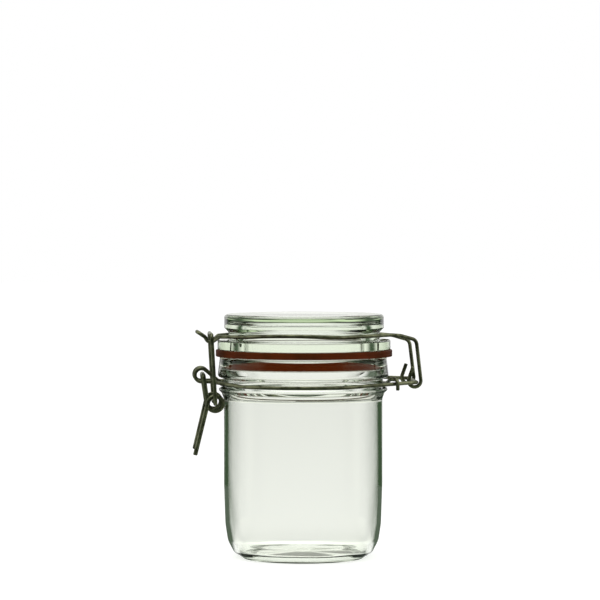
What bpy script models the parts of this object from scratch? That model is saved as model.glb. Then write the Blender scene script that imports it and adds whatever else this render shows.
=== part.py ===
"""A half litre clip-top jar: glass jar and lid, rubber ring, and four bent steel wires.

Metres, +Z up. The origin is on the jar's axis, at the face it stands on.
+X is the hinge side, -X the latch side, and the shape is mirrored about Y = 0
apart from the neck band's two ends and small differences between the two sides of the
lid wire and the lever.
"""
import math

import bmesh
import bpy
from mathutils import Vector

mm = 0.001

# Clearances
running_gap = 0.3 * mm
side_gap = 0.4 * mm

# Jar glass
jar_height = 108.7 * mm
body_radius = 42.9 * mm
body_wall = 2.2 * mm
floor_z = 2.8 * mm
floor_rise = 0.8 * mm
floor_inset = 1.2 * mm
floor_round = 2.5 * mm
foot_radius = 32.6 * mm
foot_width = 4.4 * mm
foot_recess = 1.3 * mm
heel_height = 40.0 * mm
shoulder_drop = 22.5 * mm
heel_round = 60.0 * mm
shoulder_round = 6.0 * mm
shoulder_hollow = 8.0 * mm
shoulder_gap = 4.0 * mm
foot_slope = 3.0 * mm
rim_round = 1.1 * mm
rim_lip = 0.6 * mm
least_round = 1.0 * mm

# Mouth: a thick lip whose underside slopes out to the wall behind the upper bead
lip_depth = 5.5 * mm
mouth_depth = 1.4 * mm
mouth_flare = 5.7 * mm
flare_fall = 5.0 * mm
flare_round = 0.8 * mm
groove_wall = 2.2 * mm
groove_hollow = 3.0 * mm
groove_hollow_rise = 0.5 * mm

# Groove round the neck, between two beads
groove_drop = 13.7 * mm
groove_step = 0.3 * mm
groove_height = 4.0 * mm
upper_bead_reach = 3.0 * mm
lower_bead_reach = 2.6 * mm
upper_bead_rise = 2.2 * mm
lower_bead_fall = 2.0 * mm
rim_draw_in = 1.1 * mm
bead_round = 0.9 * mm
bead_lean = 0.4 * mm
bead_skirt_in = 1.7 * mm
bead_skirt_fall = 3.7 * mm
bead_skirt_round = 1.5 * mm

# The heel's curve: shares of the step from foot to body and of the heel's height, then a rounding
heel_shape = ((0.455, 0.0725, 5.0 * mm), (0.79, 0.235, 10.0 * mm), (0.925, 0.4625, 30.0 * mm))

# Lid glass
lid_flange_height = 5.1 * mm
flange_low_round = 0.4 * mm
flange_top_round = 0.9 * mm
lid_flange_inset = 0.9 * mm
lid_neck_inset = 2.2 * mm
lid_neck_height = 4.3 * mm
lid_disc_height = 7.4 * mm
lid_undercut = 2.2 * mm
lid_neck_step = 2.2 * mm
lid_disc_round = 2.0 * mm
disc_low_round = 0.6 * mm
undercut_round = 0.8 * mm
neck_foot_round = 0.5 * mm
lid_dome = 0.4 * mm
lid_roof = 3.5 * mm
plug_play = 1.5 * mm
plug_depth = 5.6 * mm
plug_taper = 0.6 * mm
plug_wall = 4.0 * mm
plug_round = 0.8 * mm
plug_step = 0.5 * mm
cavity_flare = 4.6 * mm
cavity_round = 3.0 * mm

# Rubber ring
ring_thickness = 3.5 * mm
ring_reach = 1.5 * mm
ring_round = 0.4 * mm

# Wires
band_wire = 2.0 * mm
lid_wire_size = 2.0 * mm
link_wire = 2.1 * mm
lever_wire = 2.4 * mm
band_play = 0.5 * mm
lid_wire_play = 0.4 * mm

# Neck band: eyes for the lever, frame and hook at the hinge
eye_radius = 3.5 * mm
eye_reach = 11.0 * mm
eye_rise = 4.2 * mm
eye_slot = 4.0 * mm
eye_gate = 4.9 * mm
frame_reach = 14.35 * mm
frame_rise = 0.7 * mm
frame_play = 1.0 * mm
frame_bend = 2.6 * mm
band_drop = 1.0 * mm
hook_along = 13.3 * mm
hook_run = 5.0 * mm
hook_bend = 6.0 * mm
hook_tail = 3.4 * mm
stack_angle = math.radians(28)

# Lever: pivot bar in the eyes, one coil a side, two prongs
pivot_shift = 0.9 * mm
coil_radius = 4.0 * mm
coil_out = 6.3 * mm
coil_drop = 15.1 * mm
prong_out = 10.6 * mm
prong_drop = 26.8 * mm
prong_uneven = 0.7 * mm
lever_bend = 2.0 * mm

# Link: a bail from the coils up over the lid wire's nose
link_lean = 2.1 * mm
bar_room = 1.95 * mm
link_bend = 2.5 * mm
pin_bend = 1.6 * mm
pin_pass = 0.8 * mm

# Lid wire: nose at the latch with a pocket below the link's bar, two hooked legs at the hinge
lid_ring_rise = 2.5 * mm
ring_bow = 0.9 * mm
pocket_dip = 3.3 * mm
pocket_in = 1.0 * mm
pocket_half_width = 5.2 * mm
pocket_bend = 1.6 * mm
beside_rise = 1.0 * mm
beside_bend = 2.0 * mm
leg_top = 22.6 * mm
leg_bend = 3.5 * mm
leg_half_gap = 18.2 * mm
hook_radius = 3.3 * mm
stub_length = 7.8 * mm
stub_lean = math.radians(17)
hook_centre = (-0.8 * mm, 0.7 * mm)
strand_bend = 12.0 * mm

# The far half of the lid wire hangs a little lower at the hinge
leg_sag = 1.6 * mm
ring_sag = 1.1 * mm

# Past the pocket: distance further out, half width, height over the pocket, bend
nose_shape = ((2.6 * mm, 4.8 * mm, 0.1 * mm, 1.3 * mm), (3.9 * mm, 4.5 * mm, 2.4 * mm, 1.6 * mm),
              (8.2 * mm, 4.0 * mm, 5.25 * mm, 3.8 * mm))

# The strand between leg and ring: share of the way in and height over the ring
strand_shape = ((0.22, 0.4 * mm), (0.36, 0.9 * mm))

# Facets
turned_sides = 56
wire_resolution = 2
ring_step = math.radians(7)
bend_step = math.radians(18)
profile_step = math.radians(34)
fine_turn = math.radians(6)

# Heights and radii that follow
groove_radius = body_radius + groove_step
groove_z = jar_height - groove_drop
upper_bead_radius = groove_radius + upper_bead_reach
lower_bead_radius = groove_radius + lower_bead_reach
rim_radius = upper_bead_radius - rim_draw_in
mouth_radius = groove_radius - lip_depth
inner_radius = body_radius - body_wall
plug_radius = mouth_radius - plug_play
seal_z = jar_height + running_gap
seal_inner = plug_radius + running_gap
seal_outer = upper_bead_radius + ring_reach
flange_z = seal_z + ring_thickness + running_gap
flange_radius = seal_outer - lid_flange_inset
lid_neck_z = flange_z + lid_flange_height
disc_z = lid_neck_z + lid_neck_height + lid_undercut
lid_neck_radius = groove_radius - lid_neck_inset
disc_radius = lid_neck_radius + lid_neck_step
lid_top_z = disc_z + lid_disc_height

# Wire centre lines that follow
band_r = groove_radius + band_play + band_wire / 2
band_z = groove_z - band_drop
lid_ring_r = lid_neck_radius + lid_wire_play + lid_wire_size / 2
lid_ring_z = lid_neck_z + lid_ring_rise
eye_inner_y = eye_slot + band_wire / 2
eye_outer_y = eye_inner_y + band_wire + running_gap
arm_y = eye_outer_y + (band_wire + lever_wire) / 2 + side_gap
prong_y = arm_y + lever_wire + running_gap
link_y = prong_y + (lever_wire + link_wire) / 2 + side_gap
frame_y = leg_half_gap + (lid_wire_size + band_wire) / 2 + frame_play

# Joint centres in the X-Z plane
eye = Vector((-band_r - eye_reach, groove_z + eye_rise))
lever_pivot = Vector((eye.x + pivot_shift, eye.y))
coil = Vector((lever_pivot.x + coil_out, lever_pivot.y - coil_drop))
hinge = Vector((band_r + frame_reach, groove_z + frame_rise))
pocket_z = lid_ring_z - pocket_dip
bar = Vector((coil.x - link_lean, pocket_z + (lid_wire_size + link_wire) / 2 + bar_room))


# Materials

def material(name, colour, roughness, metallic=0.0, clear=0.0):
    made = bpy.data.materials.new(name)
    made.use_nodes = True
    shader = made.node_tree.nodes["Principled BSDF"]
    shader.inputs["Base Color"].default_value = (*colour, 1.0)
    shader.inputs["Roughness"].default_value = roughness
    shader.inputs["Metallic"].default_value = metallic
    shader.inputs["Transmission Weight"].default_value = clear
    made.diffuse_color = (*colour, 1.0 - 0.6 * clear)
    return made


# Paths: straight runs with rounded corners, arcs and tangents

def rounded(corners, step=bend_step, fewest=2):
    # corners are (point, radius); a radius of 0 keeps the point as it is
    path = []
    for i, (point, radius) in enumerate(corners):
        if radius <= 0 or i == 0 or i == len(corners) - 1:
            path.append(point.copy())
            continue
        back = corners[i - 1][0] - point
        ahead = corners[i + 1][0] - point
        turn = math.pi - back.angle(ahead)
        if turn < fine_turn:
            path.append(point.copy())
            continue
        reach = min(radius * math.tan(turn / 2), 0.48 * back.length, 0.48 * ahead.length)
        radius = reach / math.tan(turn / 2)
        back, ahead = back.normalized(), ahead.normalized()
        centre = point + (back + ahead).normalized() * radius / math.cos(turn / 2)
        start = point + back * reach - centre
        side = -back * radius
        count = max(fewest, math.ceil(turn / step))
        for k in range(count + 1):
            a = turn * k / count
            path.append(centre + start * math.cos(a) + side * math.sin(a))
    return path


def plain(points):
    return [(point, 0.0) for point in points]


def arc_xy(radius, first, last, z=band_z, step=ring_step):
    # an arc about the jar's axis, both ends included
    count = max(1, math.ceil(abs(last - first) / step))
    angles = [first + (last - first) * k / count for k in range(count + 1)]
    return [Vector((radius * math.cos(a), radius * math.sin(a), z)) for a in angles]


def touch_angle(radius, x, y, turn):
    # where a straight run from (x, y) meets a circle about the origin; turn is +1 or -1
    return math.atan2(y, x) + turn * math.acos(radius / math.hypot(x, y))


def touch_about(centre, radius, x, z, turn):
    return touch_angle(radius, x - centre.x, z - centre.y, turn)


def coil_points(centre, radius, first, last, y_first, y_last, step=bend_step):
    # a helix about an axis along Y
    count = max(2, math.ceil(abs(last - first) / step))
    points = []
    for k in range(count + 1):
        t = k / count
        a = first + (last - first) * t
        points.append(Vector((centre.x + radius * math.cos(a), y_first + (y_last - y_first) * t,
                              centre.y + radius * math.sin(a))))
    return points


def at(place, y):
    return Vector((place.x, y, place.y))


def mirrored(corners, side=-1):
    # corners of the +Y half, put on the side wanted
    return [(Vector((p.x, side * p.y, p.z)), bend) for p, bend in corners]


# Solids

def add_object(name, data, finish, parent=None):
    made = bpy.data.objects.new(name, data)
    made.data.materials.append(finish)
    bpy.context.scene.collection.objects.link(made)
    if parent is not None:
        made.parent = parent
        made.matrix_parent_inverse = parent.matrix_basis.inverted()
    return made


def turned(name, profile, finish, parent=None):
    # spins a profile of (radius, height) round the jar's axis; points on the axis become poles
    shell = bmesh.new()
    line = [shell.verts.new((r, 0.0, z)) for r, z in profile]
    closed = profile[0][0] > 0 and profile[-1][0] > 0
    pairs = list(zip(line, line[1:]))
    if closed:
        pairs.append((line[-1], line[0]))
    edges = [shell.edges.new(pair) for pair in pairs]
    bmesh.ops.spin(shell, geom=line + edges, cent=(0, 0, 0), axis=(0, 0, 1), angle=math.tau,
                   steps=turned_sides, use_merge=True, use_duplicate=False)
    bmesh.ops.remove_doubles(shell, verts=shell.verts, dist=0.001 * mm)
    bmesh.ops.dissolve_degenerate(shell, edges=shell.edges, dist=0.001 * mm)
    bmesh.ops.recalc_face_normals(shell, faces=shell.faces)
    mesh = bpy.data.meshes.new(name)
    shell.to_mesh(mesh)
    shell.free()
    mesh.shade_smooth()
    mesh.set_sharp_from_angle(angle=math.radians(50))
    return add_object(name, mesh, finish, parent)


def wire(name, path, size, finish, parent=None):
    curve = bpy.data.curves.new(name, "CURVE")
    curve.dimensions = "3D"
    curve.bevel_depth = size / 2
    curve.bevel_resolution = wire_resolution
    curve.use_fill_caps = True
    spline = curve.splines.new("POLY")
    spline.points.add(len(path) - 1)
    for point, place in zip(spline.points, path):
        point.co = (*place, 1.0)
    return add_object(name, curve, finish, parent)


def axis_empty(name, place):
    made = bpy.data.objects.new(name, None)
    made.location = at(place, 0.0)
    made.empty_display_size = 10 * mm
    bpy.context.scene.collection.objects.link(made)
    return made


def flat(corners):
    # a rounded profile of (radius, height) from corners (radius, height, rounding)
    path = rounded([(Vector((r, 0.0, z)), bend) for r, z, bend in corners], profile_step, 1)
    return [(max(p.x, 0.0), p.z) for p in path]


# Jar glass

def inset(corners, wall):
    # the inner side of a wall that follows these corners, apart from its two ends
    made = []
    for (r0, z0, _), (r1, z1, bend), (r2, z2, _) in zip(corners, corners[1:], corners[2:]):
        first = Vector((z0 - z1, r1 - r0)).normalized()
        second = Vector((z1 - z2, r2 - r1)).normalized()
        mitre = (first + second).normalized()
        mitre *= wall / mitre.dot(first)
        made.append((r1 + mitre.x, z1 + mitre.y, max(bend - wall, least_round)))
    return made


def jar_profile():
    shoulder_z = jar_height - shoulder_drop
    groove_top = groove_z + groove_height / 2
    groove_foot = groove_z - groove_height / 2
    step_out = body_radius - foot_radius
    heel = [(foot_radius, 0.0, 0)]
    heel += [(foot_radius + out * step_out, up * heel_height, bend) for out, up, bend in heel_shape]
    heel += [(body_radius, heel_height, heel_round)]
    outside = [(0.0, foot_recess, 0), (foot_radius - foot_width - foot_slope, foot_recess, 0),
               (foot_radius - foot_width, 0.0, 0)] + heel + [
        (body_radius, shoulder_z, shoulder_round),
        (lower_bead_radius - bead_skirt_in, groove_foot - bead_skirt_fall, bead_skirt_round),
        (lower_bead_radius, groove_foot - lower_bead_fall, bead_round),
        (lower_bead_radius - bead_lean, groove_foot - lower_bead_fall / 2, 0),
        (groove_radius, groove_foot, 0),
        (groove_radius, groove_top, 0),
        (upper_bead_radius - bead_lean, groove_top + upper_bead_rise / 2, 0),
        (upper_bead_radius, groove_top + upper_bead_rise, bead_round),
        (rim_radius, jar_height, rim_round)]
    flare_top = jar_height - mouth_depth
    inside = [(mouth_radius + rim_lip, jar_height, rim_lip),
              (mouth_radius, flare_top, flare_round),
              (mouth_radius + mouth_flare, flare_top - flare_fall, flare_round),
              (groove_radius - groove_wall, groove_top + groove_hollow_rise, groove_hollow),
              (inner_radius, shoulder_z - shoulder_gap, shoulder_hollow),
              (inner_radius, heel_height, heel_round)]
    inside += reversed(inset(heel, body_wall))
    inside += [(foot_radius - floor_inset, floor_z, floor_round), (0.0, floor_z + floor_rise, 0)]
    return flat(outside + inside)


# Lid glass: a top disc, a neck that the wire grips, a flange, and a hollow plug below it

def lid_profile():
    plug_foot = flange_z - plug_depth
    plug_low = plug_radius - plug_taper
    cavity_low = plug_low - plug_wall
    roof_z = lid_top_z - lid_roof
    outside = [(cavity_low, plug_foot, plug_round), (plug_low, plug_foot, plug_round),
               (plug_radius, flange_z - plug_step, 0), (plug_radius, flange_z, 0),
               (flange_radius, flange_z, flange_low_round), (flange_radius, lid_neck_z, flange_top_round),
               (lid_neck_radius, lid_neck_z, neck_foot_round),
               (lid_neck_radius, disc_z - lid_undercut, undercut_round),
               (disc_radius, disc_z, disc_low_round), (disc_radius, lid_top_z, lid_disc_round),
               (0.0, lid_top_z + lid_dome, 0)]
    hollow = [(0.0, roof_z, 0), (cavity_low + cavity_flare, roof_z, cavity_round)]
    return flat(hollow + outside)


# Rubber ring

def seal_profile():
    low, high = seal_z, seal_z + ring_thickness
    return flat([(seal_inner, low, 0), (seal_outer, low, ring_round),
                 (seal_outer, high, ring_round), (seal_inner, high, 0)])


# Neck band: one wire. It starts as a hook over the near strand of the hinge frame, goes round the
# back and far side of the neck, makes the two eyes at the front, returns along the near side,
# makes the frame and ends beside itself in the groove.

def band_eye():
    # from the middle of the front out to the straight run beside the +Y eye
    into = at(Vector((-math.sqrt(band_r ** 2 - eye_inner_y ** 2), band_z)), eye_inner_y)
    leave = touch_about(eye, eye_radius, into.x, into.z, 1) % math.tau
    ring = coil_points(eye, eye_radius, leave, 1.5 * math.pi, eye_inner_y, eye_outer_y)
    bend = Vector((eye.x + eye_gate, eye_outer_y, eye.y - eye_radius))
    return [(into, band_wire)] + plain(ring) + [(bend, eye_radius)]


def band_path():
    stack_z = band_z + band_wire + running_gap
    far_eye = band_eye()
    gate = far_eye[-1][0]
    eye_touch = touch_angle(band_r, gate.x, gate.y, -1) % math.tau
    frame_touch = touch_angle(band_r, hinge.x, frame_y, 1)
    # the hook lies across the near strand, hook_along in from the frame's corner
    touch = Vector((band_r * math.cos(frame_touch), -band_r * math.sin(frame_touch), band_z))
    corner = at(hinge, -frame_y)
    strand = (corner - touch).normalized()
    strand_at = corner - strand * hook_along
    across = Vector((strand.y, -strand.x, 0)).normalized()
    lift = Vector((0, 0, band_wire + running_gap))
    over = across * (band_wire + running_gap)
    hook_in = strand_at - across * hook_run + lift
    back_touch = touch_angle(band_r, hook_in.x, hook_in.y, 1)
    path = [(strand_at + over - Vector((0, 0, hook_tail)), 0.0),
            (strand_at + over + lift, band_wire + running_gap), (hook_in, hook_bend)]
    path += plain(arc_xy(band_r, back_touch, eye_touch))
    path += list(reversed(far_eye))
    path += plain([Vector((-band_r, 0.0, band_z))])
    path += mirrored(far_eye)
    path += plain(arc_xy(band_r, -eye_touch, -frame_touch))
    path += [(corner, frame_bend), (at(hinge, frame_y), frame_bend)]
    path += plain(arc_xy(band_r, frame_touch, frame_touch + stack_angle, stack_z))
    return rounded(path)


# Lid wire: one wire, its two ends hooked under the frame's end bar

def lid_wire_half(side, sag, start_sag):
    # side is +1 or -1, the sags are how much lower the leg and the start of the ring are
    hook = hinge + Vector(hook_centre)
    top = Vector((hinge.x, hinge.y + leg_top - sag))
    # hinge side, from the stub's tip round the hook and up the leg
    stub = Vector((hook.x - hook_radius * math.cos(stub_lean) + stub_length * math.sin(stub_lean),
                   hook.y + stub_length * math.cos(stub_lean)))
    into = touch_about(hook, hook_radius, stub.x, stub.y, 1)
    out = touch_about(hook, hook_radius, top.x, top.y, -1) + math.tau
    leg_end = at(top, leg_half_gap)
    half = [(at(stub, leg_half_gap), 0.0)]
    half += plain(coil_points(hook, hook_radius, into, out, leg_half_gap, leg_half_gap))
    half += [(leg_end, leg_bend)]
    ring_touch = touch_angle(lid_ring_r, top.x, leg_half_gap, 1)
    start = Vector((lid_ring_r * math.cos(ring_touch), lid_ring_r * math.sin(ring_touch), lid_ring_z))
    # the strand rises a little on its way in, then falls into the lid's groove
    for share, lift in strand_shape:
        place = leg_end.lerp(start, share)
        place.z = lid_ring_z + lift - sag
        half += [(place, strand_bend)]
    pocket = Vector((bar.x + pocket_in, pocket_half_width, pocket_z))
    nose_touch = touch_angle(lid_ring_r, pocket.x, pocket.y, -1) % math.tau
    arc = arc_xy(lid_ring_r, ring_touch, nose_touch, lid_ring_z)
    leaving = arc[-1].copy()
    for k, point in enumerate(arc):
        along = k / (len(arc) - 1)
        point.z += ring_bow * math.sin(math.pi * along) - start_sag * max(0.0, 1 - 2 * along)
    half += plain(arc)
    past_flange = math.sqrt((flange_radius + running_gap) ** 2 - lid_ring_r ** 2)
    beside = leaving.lerp(pocket, past_flange / (pocket.xy - leaving.xy).length)
    beside.z = lid_neck_z + lid_wire_size / 2 + beside_rise
    half += [(beside, beside_bend), (pocket, pocket_bend)]
    half += [(Vector((pocket.x - out, y, pocket_z + up)), bend) for out, y, up, bend in nose_shape]
    return mirrored(half, side)


def lid_wire_path():
    return rounded(lid_wire_half(1, leg_sag, ring_sag) + list(reversed(lid_wire_half(-1, 0.0, 0.0))))


# Lever: pivot bar through the eyes, an arm, one coil and a prong on each side

def lever_half(side, drop):
    tip = Vector((coil.x - prong_out * drop / prong_drop, coil.y - drop))
    into = touch_about(coil, coil_radius, tip.x, tip.y, -1) % math.tau
    out = touch_about(coil, coil_radius, lever_pivot.x, lever_pivot.y, 1) % math.tau - math.tau
    half = [(at(tip, prong_y), 0.0)]
    half += plain(coil_points(coil, coil_radius, into, out, prong_y, arm_y))
    half += [(at(lever_pivot, arm_y), lever_bend)]
    return mirrored(half, side)


def lever_path():
    near = lever_half(-1, prong_drop + prong_uneven)
    return rounded(lever_half(1, prong_drop - prong_uneven) + list(reversed(near)))


# Link: a bar over the nose, two legs outside the lever, and pins turned in through its coils

def link_path():
    pin_end = arm_y - lever_wire / 2 - pin_pass
    half = [(at(coil, pin_end), 0.0), (at(coil, link_y), pin_bend), (at(bar, link_y), link_bend)]
    return rounded(half + list(reversed(mirrored(half))))


def main():
    for old in list(bpy.data.objects):
        bpy.data.objects.remove(old, do_unlink=True)
    jar_glass = material("jar_glass", (0.86, 0.93, 0.88), 0.03, clear=1.0)
    lid_glass = material("lid_glass", (0.86, 0.93, 0.88), 0.03, clear=1.0)
    rubber = material("red_rubber", (0.22, 0.035, 0.01), 0.55)
    band_steel = material("band_steel", (0.20, 0.20, 0.16), 0.35, 1.0)
    lid_steel = material("lid_wire_steel", (0.20, 0.20, 0.16), 0.35, 1.0)
    link_steel = material("link_steel", (0.20, 0.20, 0.16), 0.35, 1.0)
    lever_steel = material("lever_steel", (0.20, 0.20, 0.16), 0.35, 1.0)

    lid_axis = axis_empty("lid_axis", hinge)
    lever_axis = axis_empty("lever_axis", lever_pivot)
    link_axis = axis_empty("link_axis", coil)

    turned("jar_body", jar_profile(), jar_glass)
    turned("glass_lid", lid_profile(), lid_glass, lid_axis)
    turned("rubber_gasket", seal_profile(), rubber, lid_axis)
    wire("neck_band", band_path(), band_wire, band_steel)
    wire("lid_wire", lid_wire_path(), lid_wire_size, lid_steel, lid_axis)
    wire("latch_lever", lever_path(), lever_wire, lever_steel, lever_axis)
    wire("latch_link", link_path(), link_wire, link_steel, link_axis)


main()
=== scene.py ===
# Clip-top jar: glass, rubber and bent wire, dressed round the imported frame
import math

import bmesh
import bpy
from mathutils import Matrix, Vector, noise


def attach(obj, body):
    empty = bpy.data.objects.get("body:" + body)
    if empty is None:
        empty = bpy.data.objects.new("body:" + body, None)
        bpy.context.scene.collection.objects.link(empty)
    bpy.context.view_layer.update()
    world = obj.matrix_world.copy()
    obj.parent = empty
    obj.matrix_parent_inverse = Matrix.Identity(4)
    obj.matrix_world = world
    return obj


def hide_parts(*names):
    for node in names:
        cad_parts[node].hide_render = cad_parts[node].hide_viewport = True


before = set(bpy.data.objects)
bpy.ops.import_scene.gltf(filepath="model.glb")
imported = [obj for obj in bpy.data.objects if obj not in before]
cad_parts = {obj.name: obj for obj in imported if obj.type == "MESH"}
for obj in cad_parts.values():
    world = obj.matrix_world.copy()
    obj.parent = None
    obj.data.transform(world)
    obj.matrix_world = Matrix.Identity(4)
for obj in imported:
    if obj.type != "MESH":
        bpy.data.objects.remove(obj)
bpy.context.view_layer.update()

mm = 0.001
scene = bpy.context.scene


def addNode(tree, kind, place=(0, 0), **settings):
    # adds a node and sets its properties
    node = tree.nodes.new(kind)
    node.location = place
    for key, value in settings.items():
        setattr(node, key, value)
    return node


def feed(node, **values):
    # sets sockets by name, with underscores for spaces
    for key, value in values.items():
        node.inputs[key.replace("_", " ")].default_value = value
    return node


def addMath(tree, operation, place, second=None, **settings):
    # second is the fixed value of the second input
    node = addNode(tree, "ShaderNodeMath", place, operation=operation, **settings)
    if second is not None:
        node.inputs[1].default_value = second
    return node


def addRange(tree, place, span=None, result=None, smooth=False):
    # a Map Range node; a span or result that isn't given is 0 to 1
    node = addNode(tree, "ShaderNodeMapRange", place)
    if smooth:
        node.interpolation_type = "SMOOTHSTEP"
    for side, ends in (("From", span), ("To", result)):
        if ends:
            node.inputs[side + " Min"].default_value, node.inputs[side + " Max"].default_value = ends
    return node


def join(source, output, target, socket):
    # links two nodes of the same tree
    target.id_data.links.new(source.outputs[output], target.inputs[socket])


shot = {
    "azimuth": -4.0,            # degrees, seen from a little to the latch side
    "distance": 1.75,
    "height": 0.1916,
    "aimHeight": 0.1393,
    "aimLeft": 2.16 * mm,       # the jar stands a touch right of the middle
    "lens": 194.4,
    "sensor": 36,
}


def placeCamera():
    turn = math.radians(shot["azimuth"])
    right = Vector((math.cos(turn), math.sin(turn), 0))
    spot = Vector((math.sin(turn), -math.cos(turn), 0)) * shot["distance"]
    spot.z = shot["height"]
    aim = Vector((0, 0, shot["aimHeight"])) - right * shot["aimLeft"]
    lens = bpy.data.cameras.new("jarCamera")
    lens.sensor_width = shot["sensor"]
    lens.lens = shot["lens"]
    lens.clip_start = 0.01
    camera = bpy.data.objects.new("jarCamera", lens)
    camera.location = spot
    camera.rotation_euler = (aim - spot).to_track_quat("-Z", "Y").to_euler()
    scene.collection.objects.link(camera)
    scene.camera = camera


studio = {
    # glass and metal see a lit panel on each side of the table, and a dark green room between the panels
    "panelTone": (0.95, 0.96, 0.92),
    "gapTone": (0.050, 0.085, 0.045),
    # where a panel begins and where it is full: 1 is its own middle, 0.71 the middle of a gap
    "tableEdges": (0.905, 0.975),
    "wallEdges": (0.74, 0.90),
    "innerShift": 0.035,        # how much narrower they are for light that the glass mirrors inside
    "sideLimit": 1.5,           # light mirrored more often than this sees no side panel
    "tableEnd": (1.9, 2.5),     # how far off the panels get wider
    "nearFloor": (0.10, 0.45),  # the floor is pale this close to the jar, whatever the side
    "innerNear": 0.94,          # but this dark at least for light that the glass mirrors inside
    "frontEdges": (0.0, 0.6),   # the camera's side
    "frontLevels": (0.07, 0.85),    # dim for what mirrors it, lit for what glass shows of it
    "overhead": (0.75, 0.95),   # how steep a way meets the lit ceiling
    "roomLevel": 0.80,          # the even light on all matt surfaces
    "lampAim": (0, 0, 0.08),
    "topLamp": ((-0.25, -0.45, 1.3), 1.1, 4.5),     # place, size and power
    "sideLamp": ((1.1, -0.5, 0.75), 0.5, 1.2),
    "floorReach": 6.0,
    "floorDrop": 0.05 * mm,
    "floorTone": 0.66,
    "floorGlow": 0.52,          # for the camera, so the sweep is pure white
    "floorSeen": (0.74, 0.29),  # the floor's glow that glass and metal see, under the jar and away from it; the stronger glow under the jar is a painted pool of light
    "underJar": (0.035, 0.09),
}


def addLamp(name, spot, size, power):
    lamp = bpy.data.lights.new(name, "AREA")
    lamp.shape = "DISK"
    lamp.size = size
    lamp.energy = power
    holder = bpy.data.objects.new(name, lamp)
    holder.location = spot
    holder.rotation_euler = (Vector(studio["lampAim"]) - Vector(spot)).to_track_quat("-Z", "Y").to_euler()
    holder.visible_transmission = False     # no lamp shows as a spot behind the glass
    scene.collection.objects.link(holder)


def panelGroup():
    # 1 towards the middle of the back and of each side, 0 towards the corners between them
    # Way is a direction or a place on the floor, Inner is 1 once the glass has mirrored the light
    tree = bpy.data.node_groups.new("litPanels", "ShaderNodeTree")
    tree.interface.new_socket("Way", in_out="INPUT", socket_type="NodeSocketVector")
    for name in ("Narrow", "Wide", "Reach", "Inner"):
        tree.interface.new_socket(name, in_out="OUTPUT", socket_type="NodeSocketFloat")
    start = addNode(tree, "NodeGroupInput", (-1000, 0))
    end = addNode(tree, "NodeGroupOutput", (600, 0))
    turned = addNode(tree, "ShaderNodeVectorRotate", (-900, 0), rotation_type="Z_AXIS")
    turned.inputs["Angle"].default_value = -math.radians(shot["azimuth"])
    split = addNode(tree, "ShaderNodeSeparateXYZ", (-750, 0))
    sideX = addMath(tree, "ABSOLUTE", (-600, 150))
    once = addMath(tree, "MULTIPLY", (-500, 200))
    most = addMath(tree, "MAXIMUM", (-400, 100))
    level = addNode(tree, "ShaderNodeCombineXYZ", (-600, -150))
    reach = addNode(tree, "ShaderNodeVectorMath", (-400, -150), operation="LENGTH")
    share = addMath(tree, "DIVIDE", (-200, 0))
    narrow = addRange(tree, (0, 100), span=studio["tableEdges"], smooth=True)
    wide = addRange(tree, (0, -100), span=studio["wallEdges"], smooth=True)
    ahead = addMath(tree, "DIVIDE", (-200, -250))
    front = addRange(tree, (0, -300), span=[-edge for edge in studio["frontEdges"]], smooth=True)
    ways = addNode(tree, "ShaderNodeLightPath", (-200, -500))
    strength = addRange(tree, (0, -500), result=studio["frontLevels"])
    dimmed = addMath(tree, "MULTIPLY", (200, -300))
    inner = addMath(tree, "MINIMUM", (-400, -500), second=1.0)
    few = addMath(tree, "LESS_THAN", (-400, -650), second=studio["sideLimit"])
    shown = addMath(tree, "MULTIPLY", (-200, -650))
    less = addMath(tree, "MULTIPLY_ADD", (-100, 100), second=-studio["innerShift"])
    eitherNarrow = addMath(tree, "MAXIMUM", (400, 100))
    eitherWide = addMath(tree, "MAXIMUM", (400, -100))
    join(start, "Way", turned, "Vector")
    join(turned, 0, split, 0)
    join(split, "X", sideX, 0)
    join(sideX, 0, once, 0)
    join(few, 0, once, 1)
    join(once, 0, most, 0)
    join(split, "Y", most, 1)
    join(split, "X", level, "X")
    join(split, "Y", level, "Y")
    join(level, 0, reach, 0)
    join(most, 0, share, 0)
    join(reach, "Value", share, 1)
    join(ways, "Glossy Depth", inner, 0)
    join(ways, "Glossy Depth", few, 0)
    join(ways, "Is Transmission Ray", shown, 0)
    join(few, 0, shown, 1)
    join(inner, 0, less, 0)
    join(share, 0, less, 2)
    join(inner, 0, end, "Inner")
    join(less, 0, narrow, "Value")
    join(share, 0, wide, "Value")
    join(shown, 0, strength, "Value")
    join(front, "Result", dimmed, 0)
    join(strength, "Result", dimmed, 1)
    join(narrow, "Result", eitherNarrow, 0)
    join(wide, "Result", eitherWide, 0)
    join(dimmed, 0, eitherNarrow, 1)
    join(dimmed, 0, eitherWide, 1)
    join(eitherNarrow, 0, end, "Narrow")
    join(eitherWide, 0, end, "Wide")
    join(reach, "Value", end, "Reach")
    join(split, "Y", ahead, 0)
    join(reach, "Value", ahead, 1)
    join(ahead, 0, front, "Value")
    return tree


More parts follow.
